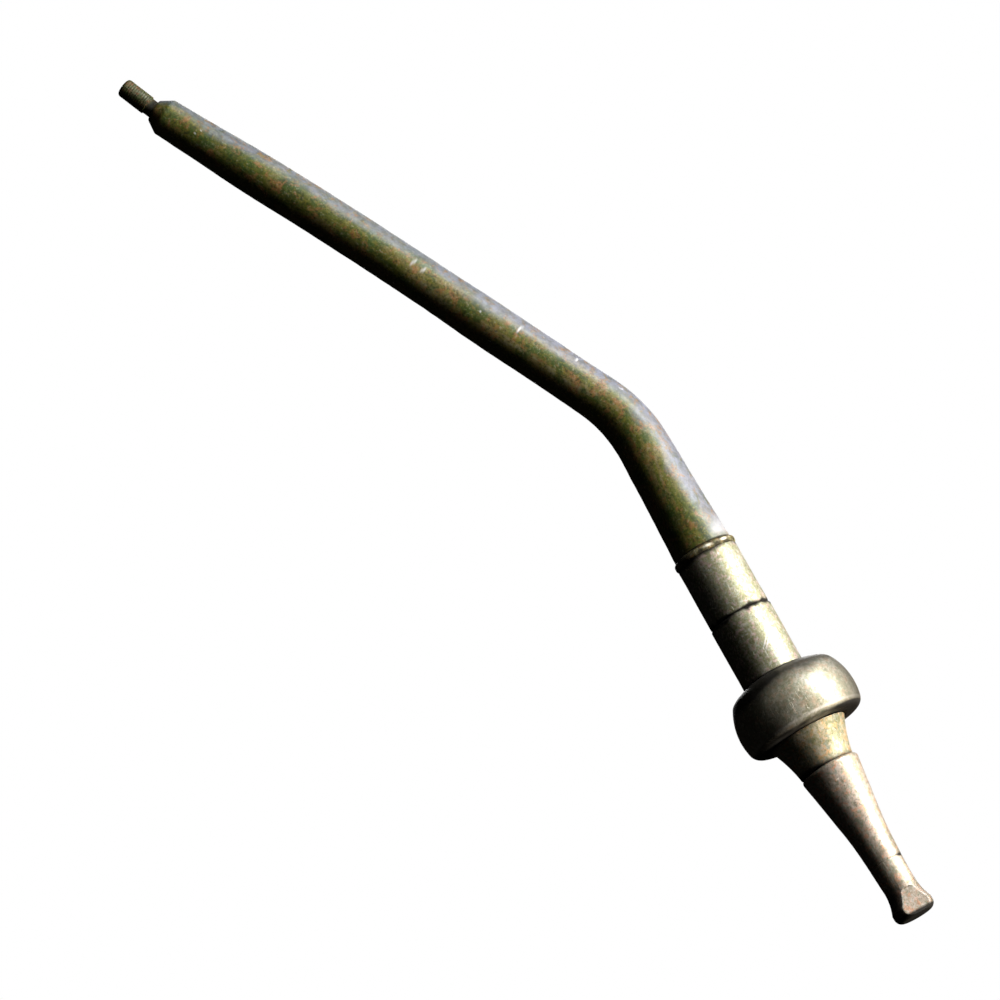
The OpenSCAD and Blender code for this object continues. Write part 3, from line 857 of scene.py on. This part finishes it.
ball_outline += arc((0, 0), BALL_R, rim_angle, BALL_TRUE_ANGLE, 48)[1:]
ball_outline += curve(true_edge, (true_edge[0] + tangent[0], true_edge[1] + tangent[1]),
                      (LOWER_R + BALL_LIP, BALL_TOP), 32)[1:]
ball_outline += [(RECESS_R, BALL_TOP, 0.1), (RECESS_R, BALL_TOP - RECESS_DEPTH),
                 (BUSH_R, BALL_TOP - RECESS_DEPTH), (BUSH_R, -BALL_BOTTOM + RECESS_DEPTH),
                 (RECESS_R, -BALL_BOTTOM + RECESS_DEPTH),
                 (RECESS_R, -BALL_BOTTOM + RELIEF_DEPTH)]


def ball_shape(flat, r, angle, z):
    """Puts the bore and recesses on the stem's axis, and dents the outside a little."""
    inner = (r < LOWER_R) | ((r < RELIEF_R + 0.01) & (z < 0))
    x = r * np.cos(angle) + np.where(inner, STEM_X, 0.0)
    y = r * np.sin(angle)
    r, angle = np.hypot(x, y), np.arctan2(y, x)
    move = np.where(inner, 0.0, -0.07 * np.abs(rough_noise(flat, 9.0, 61)))
    return r + move, angle, z


def ball_marks(flat, angle, z):
    """Grime where the sleeve meets it, painted shade on the shaded side, crown, right side and
    underside, a painted highlight along the lip, and streaks rubbed bright.
    """
    out = np.hypot(flat[:, 0], flat[:, 1])
    top = near(z, BALL_TOP, 2.4) * np.clip((18.5 - out) / 4.0, 0, 1)
    # Painted shade on the underside
    under = np.clip((-7.7 - z) / 1.0, 0, 1)
    rubbed = 0.5 * np.clip(noise(flat * (0.4, 0.4, 2.5), 6.0, 62) - 0.45, 0, 1)
    # A painted highlight along the lower lip
    lip_highlight = near(z, -6.9, 0.9) * np.clip(0.7 + noise(flat, 7.0, 64), 0, 1)
    # Painted shade on the crown and on the right side
    crown_shade = 0.9 * np.clip((z - 6.0 + 1.5 * noise(flat, 6.0, 65)) / 6.5, 0, 1)
    side = 0.88 * right_side_shade(angle, -0.45, 1.15)
    return {"grime": painted_side_shade(flat, angle) + 0.2 * top + 0.75 * under + np.maximum(crown_shade, side),
            "bare": rubbed + lip_highlight}


turned("half_ball_shell", "fulcrum", ball_outline, Line((0, 0, 0)), around=176, step=0.6,
       shape=ball_shape, marks=ball_marks, stands_for=("fulcrum_half_ball",),
       finish=ball_steel, closed=True)

# The neck, bowed in between its two ends
neck_bow = ((COLLAR_TOP_R + COLLAR_END_R) / 2 - 2 * COLLAR_SAG, (COLLAR_Z + FINGER_Z) / 2)
tail_bore = TAIL_R + PRESS_GAP
neck_outline = [(bore, COLLAR_Z), (COLLAR_TOP_R, COLLAR_Z, 0.3)]
neck_outline += curve((COLLAR_TOP_R, COLLAR_Z), neck_bow, (COLLAR_END_R, FINGER_Z), 24)[1:]
neck_outline += [(tail_bore, FINGER_Z), (tail_bore, TAIL_Z), (bore, TAIL_Z)]


def neck_marks(flat, angle, z):
    """Grime under the half-ball and at the finger's joint, and painted shade on the shaded side.
    """
    under = near(z, COLLAR_Z, 1.6)
    joint = near(z + 0.35 * noise(flat, 3.0, 81), FINGER_Z, 2.4)
    return {"grime": painted_side_shade(flat, angle) + 0.3 * under + 0.75 * joint}


turned("neck_collar_shell", "arm", neck_outline, Line((COLLAR_X, 0, 0)), around=128, step=0.5,
       shape=dents(size=9.0, depth=0.08, seed=82), marks=neck_marks,
       stands_for=("neck_collar",), finish=collar_steel, closed=True)

# The finger. Its edge and the tip's are bevelled where they meet: how wide and how high
JOINT_CUT, JOINT_RUN = 0.15, 0.2
finger_outline = [
    (0.0, TIP_Z), (FINGER_END_R - JOINT_CUT, TIP_Z, 0.05),
    (FINGER_END_R, TIP_Z + JOINT_RUN, 0.1),
    (FINGER_MID_R, TAPER_Z, 9.0), (FINGER_R, FINGER_Z - FINGER_TOP_ROUND, 0.9),
    (FINGER_R - FINGER_TOP_ROUND, FINGER_Z, 0.5), (0.0, FINGER_Z),
]


# The dark line at the tip's joint shows on one side only, in radians round from +X
TIP_LINE_ANGLE = 5.55


def finger_marks(flat, angle, z):
    """Grime on the shoulder and at the tip's joint, painted shade on the shaded side and to the
    right, and a bright spot over the joint.
    """
    top = near(z, FINGER_Z, 0.9) * (np.hypot(flat[:, 0], flat[:, 1]) < FINGER_R - 0.6)
    joint = near(z + 0.3 * noise(flat, 2.5, 92), TIP_Z, 1.4) * near(angle, TIP_LINE_ANGLE, 0.75)
    spot = 0.9 * near(z, TIP_Z + 2.0, 0.9) * near(angle, TIP_LINE_ANGLE - 0.35, 0.3)
    # Painted shade on the right side
    side = 0.46 * right_side_shade(angle, -0.2, 1.0)
    return {"grime": painted_side_shade(flat, angle) + 0.9 * top + joint + side, "bare": spot}


turned("selector_finger_skin", "arm", finger_outline, finger, around=112, step=0.5,
       shape=dents(size=8.0, depth=0.09, seed=91, fine=0.02), marks=finger_marks,
       stands_for=("selector_finger",), finish=finger_steel)

# The tip: flared, its end rounded, with a flat on each side. It ends a hair inside the solid
tip_end = END_Z + 0.01
neck_z = FLARE_Z + FLARE_LAND
wide_z = END_Z + FLARE_ROUND + FLARE_LAND
start_r = TIP_R - FLARE_SHIFT
tip_outline = [(0.0, tip_end)]
tip_outline += arc((FLARE_R - FLARE_ROUND, tip_end + FLARE_ROUND), FLARE_ROUND, -90, 0)
tip_outline += curve((FLARE_R, wide_z), (start_r, (wide_z + neck_z) / 2), (start_r, neck_z), 24)
tip_outline += [(TIP_R - 0.05, FLARE_Z + 5.0, 3.0),
                (FINGER_END_R - TIP_INSET, TIP_Z - JOINT_RUN, 0.1),
                (FINGER_END_R - (JOINT_CUT + TIP_INSET), TIP_Z, 0.05), (0.0, TIP_Z)]

# The round arch in which each flat ends above, and how much deeper the flat is cut there
ARCH_R = 5.2
ARCH_Z = -86.8
ARCH_DEPTH = 0.3


def tip_shape(flat, r, angle, z):
    """Shifts the flare, cuts the flats and wears the surface."""
    on_flare = np.clip((neck_z + 3.0 - z) / 3.0, 0, 1)
    x = r * np.cos(angle) + FLARE_SHIFT * on_flare
    y = r * np.sin(angle)
    arch = ARCH_Z + np.sqrt(np.clip(ARCH_R**2 - (x - FLARE_SHIFT) ** 2, 0, None))
    depth = ARCH_DEPTH * np.clip((z - END_Z) / (ARCH_Z + ARCH_R - END_Z), 0, 1)
    worn = FLAT_HALF - depth - 0.05 * np.abs(noise(flat, 3.0, 101))
    y = np.where(z < arch, np.clip(y, -worn, worn), y)
    move = 1.0 - 0.004 * np.abs(rough_noise(flat, 4.0, 102))
    return np.hypot(x, y) * move, np.arctan2(y, x), z


def tip_marks(flat, angle, z):
    """Grime at the joint, darker from the flare to the end, painted shade on the end, the shaded
    side and the right, and rubbed flats' edges.
    """
    joint = near(z - 0.25 * noise(flat, 2.5, 103), TIP_Z, 1.2)
    joint *= near(np.remainder(angle, 2 * math.pi), TIP_LINE_ANGLE, 0.7)
    # Painted shade on the end, which faces down
    end = 0.75 * np.clip((END_Z + 2.1 - z) / 1.2, 0, 1)
    # Darker from the flare down to the end
    toward_end_dark = 0.42 * np.clip((FLARE_Z + 4.0 - z) / 6.0, 0, 1)
    # Painted shade on the right side
    side = right_side_shade(angle, -0.2, 1.0) * np.where(z < FLARE_Z, 0.3, 0.46)
    out = np.abs(flat[:, 1])
    edge = near(out, FLAT_HALF - 0.2, 0.5) * (z < FLARE_Z)
    # Painted shade on the shaded side, off the flats
    side_shade_here = painted_side_shade(flat, angle) * (out < FLAT_HALF - 0.3)
    return {"grime": side_shade_here + joint + end + toward_end_dark + side, "bare": 0.25 * edge}


turned("finger_tip_skin", "arm", tip_outline, finger, around=160, step=0.3, shape=tip_shape,
       marks=tip_marks, stands_for=("finger_tip",), finish=finger_steel)


# How far a rivet's peened ends stand out of the finger
PEEN = 0.05


def rivet(node, line, radius, finger_r):
    """A rivet across the finger, where the finger's radius is finger_r."""
    half = finger_r + PEEN
    outline = [(0.0, -half), (radius * 0.55, -half + 0.03), (radius, -half + 0.2, 0.12),
               (radius, half - 0.2, 0.12), (radius * 0.55, half - 0.03), (0.0, half)]

    def marks(flat, angle, z):
        return {"grime": 0.8 * near(np.hypot(flat[:, 0], flat[:, 1]), radius, 0.35)}

    turned(node + "_pin", "arm", outline, line, around=40, step=0.3,
           shape=dents(size=1.5, depth=0.02, seed=111), marks=marks, stands_for=(node,),
           finish=pin_steel)


rivet("finger_rivet", Line((FINGER_RIVET_X, 0, FINGER_RIVET_Z), (1, 0, 0), (0, 0, 1)),
      FINGER_RIVET_R,
      float(np.interp(FINGER_RIVET_Z, [TAPER_Z, FINGER_Z], [FINGER_MID_R, FINGER_R])))
rivet("tip_rivet", Line(on_axis(finger, TIP_RIVET_Z), finger.u, (0, 1, 0)), TIP_RIVET_R,
      float(np.interp(TIP_RIVET_Z, [TIP_Z, TAPER_Z], [FINGER_END_R, FINGER_MID_R])))

# ---------------------------------------------------------------- carried-over solids

for node, finish in (("ball_bush", bush_bronze), ("upper_thrust_washer", bush_bronze),
                     ("lower_thrust_washer", bush_bronze), ("sleeve_dowels", dowel_steel)):
    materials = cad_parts[node].data.materials
    materials.clear()
    materials.append(finish)

# ---------------------------------------------------------------- camera

# Fitted by laying the solids' outline over the photograph's
AZIMUTH, ELEVATION, ROLL = (math.radians(a) for a in (-15.8186, -13.5055, 29.1209))
DISTANCE = 2110.8
PIXELS_PER_MM = 2.5555
BALL_PIXEL = (797.6, 712.01)
PICTURE = 1000.0
SENSOR = 36.0

back = Vector((math.sin(AZIMUTH) * math.cos(ELEVATION), -math.cos(AZIMUTH) * math.cos(ELEVATION),
               math.sin(ELEVATION)))
right = Vector((math.cos(AZIMUTH), math.sin(AZIMUTH), 0))
up = back.cross(right)
cam_x = right * math.cos(ROLL) - up * math.sin(ROLL)
cam_y = right * math.sin(ROLL) + up * math.cos(ROLL)
place = (back * DISTANCE - cam_x * ((BALL_PIXEL[0] - PICTURE / 2) / PIXELS_PER_MM)
         + cam_y * ((BALL_PIXEL[1] - PICTURE / 2) / PIXELS_PER_MM)) * MM
camera = bpy.data.objects.new("camera", bpy.data.cameras.new("camera"))
bpy.context.scene.collection.objects.link(camera)
camera.matrix_world = Matrix(((cam_x.x, cam_y.x, back.x, place.x),
                              (cam_x.y, cam_y.y, back.y, place.y),
                              (cam_x.z, cam_y.z, back.z, place.z), (0, 0, 0, 1)))
camera.data.sensor_width = SENSOR
camera.data.lens = SENSOR * PIXELS_PER_MM * DISTANCE / PICTURE
camera.data.clip_start, camera.data.clip_end = 0.05, 60.0
bpy.context.scene.camera = camera

# ---------------------------------------------------------------- light

# The part's middle, which the lamps and the flag stand round
middle = Vector((-0.045, 0.0, 0.12))
# Each lamp's direction from there, as shares of right, up and back towards the camera, then its
# distance, size, power and colour
LAMPS = (
    ("key", (0.86, 0.46, 0.27), 1.7, 0.5, 20, (0.92, 0.95, 1.0)),
    ("broad", (0.94, 0.02, 0.27), 1.6, 1.0, 34, (1.0, 0.985, 0.97)),
    ("soft", (0.80, 0.30, 0.52), 1.9, 0.7, 4, (1.0, 1.0, 1.0)),
    ("low", (0.80, -0.58, 0.12), 0.8, 0.35, 7, (1.0, 0.92, 0.82)),
    ("behind", (0.08, 0.2, -0.97), 1.9, 1.0, 34, (1.0, 1.0, 1.0)),
)


def toward(shares):
    return (right * shares[0] + up * shares[1] + back * shares[2]).normalized()


for name, shares, distance, size, power, colour in LAMPS:
    data = bpy.data.lights.new(name, "AREA")
    data.shape = "DISK"
    data.size = size
    data.energy = power
    data.color = colour
    lamp = bpy.data.objects.new(name, data)
    bpy.context.scene.collection.objects.link(lamp)
    lamp.location = middle + toward(shares) * distance
    lamp.visible_camera = False
    lamp.rotation_mode = "QUATERNION"
    lamp.rotation_quaternion = toward(shares).to_track_quat("Z", "Y")

# White where it is seen or reflected, and a dim fill otherwise
WHITE = (1.0, 1.0, 1.0)
FILL, FILL_STRENGTH = (0.95, 0.97, 1.0), 0.03
world = bpy.data.worlds.new("studio")
bpy.context.scene.world = world
world.use_nodes = True
sky = Nodes(world.node_tree)
seen = sky.rays("Is Camera Ray", "Is Glossy Ray", "Is Transmission Ray")
sky.show(seen, sky.glow("ShaderNodeBackground", FILL, FILL_STRENGTH),
         sky.glow("ShaderNodeBackground", WHITE, 1.0), "World Output")

# ---------------------------------------------------------------- floor and flag


def stage_piece(name, points, faces, material):
    mesh = bpy.data.meshes.new(name)
    mesh.from_pydata(points, [], faces)
    mesh.materials.append(material)
    item = bpy.data.objects.new(name, mesh)
    bpy.context.scene.collection.objects.link(item)
    return item


def plain_material(name, colour, roughness, specular):
    material = bpy.data.materials.new(name)
    material.use_nodes = True
    shader = material.node_tree.nodes["Principled BSDF"]
    shader.inputs["Base Color"].default_value = (*colour, 1)
    shader.inputs["Roughness"].default_value = roughness
    shader.inputs["Specular IOR Level"].default_value = specular
    return material


# The floor glows where it is seen or reflected, less so near the part, so that its shadow
# shows: a NEAR_GLOW share of the full glow within SHADOW_R, and all of it beyond CLEAR_R
FLOOR_Z = -0.75
FLOOR_HALF = 12.0
SHADOW_R, CLEAR_R = 0.5, 1.8
NEAR_GLOW = 0.75
floor_white = plain_material("floor_white", (0.9, 0.9, 0.9), roughness=0.9, specular=0.5)
ground = Nodes(floor_white.node_tree)
seen = ground.rays("Is Camera Ray", "Is Glossy Ray")
where = ground.tree.nodes.new("ShaderNodeTexCoord")
length = ground.tree.nodes.new("ShaderNodeVectorMath")
length.operation = "LENGTH"
ground.link(where.outputs["Object"], length.inputs[0])
far = ground.level(length.outputs["Value"], SHADOW_R, CLEAR_R, NEAR_GLOW, 1.0)
ground.show(ground.math("MULTIPLY", seen, far), ground.tree.nodes["Principled BSDF"],
            ground.glow("ShaderNodeEmission", WHITE, 1.0), "Material Output")
stage_piece("floor", [(x * FLOOR_HALF, y * FLOOR_HALF, FLOOR_Z)
                      for x, y in ((-1, -1), (1, -1), (1, 1), (-1, 1))],
            [(0, 1, 2, 3)], floor_white)

# A black flag round the part's shaded side, which reflections meet but no camera sees: a bowl
# round the part's middle, open within FLAG_OPEN degrees of the side that the lamps are on, which
# is given as shares of right, up and back
FLAG_WIDE, FLAG_UP, FLAG_DOWN = 0.66, 0.62, 0.40
FLAG_OPEN = 46.0
LIT_SIDE = (0.94, 0.24, 0.22)
FLAG_ROWS, FLAG_AROUND = 24, 64
open_way = toward(LIT_SIDE)
side_a = open_way.orthogonal().normalized()
side_b = open_way.cross(side_a)
flag_points, flag_faces = [], []
for row in range(FLAG_ROWS + 1):
    off = math.radians(FLAG_OPEN + (180.0 - FLAG_OPEN) * row / FLAG_ROWS)
    for n in range(FLAG_AROUND):
        spin = 2 * math.pi * n / FLAG_AROUND
        way = (open_way * math.cos(off)
               + (side_a * math.cos(spin) + side_b * math.sin(spin)) * math.sin(off))
        tall = FLAG_UP if way.z > 0 else FLAG_DOWN
        flag_points.append((middle.x + way.x * FLAG_WIDE, middle.y + way.y * FLAG_WIDE,
                            middle.z + way.z * tall))
for row in range(FLAG_ROWS):
    for n in range(FLAG_AROUND):
        m = (n + 1) % FLAG_AROUND
        here, there = row * FLAG_AROUND, (row + 1) * FLAG_AROUND
        flag_faces.append((here + n, here + m, there + m, there + n))
flag_black = plain_material("flag_black", (0.005, 0.005, 0.005), roughness=1.0, specular=0.0)
flag = stage_piece("flag", flag_points, flag_faces, flag_black)
flag.visible_camera = False
flag.visible_shadow = False

bpy.context.scene.view_settings.view_transform = "Standard"
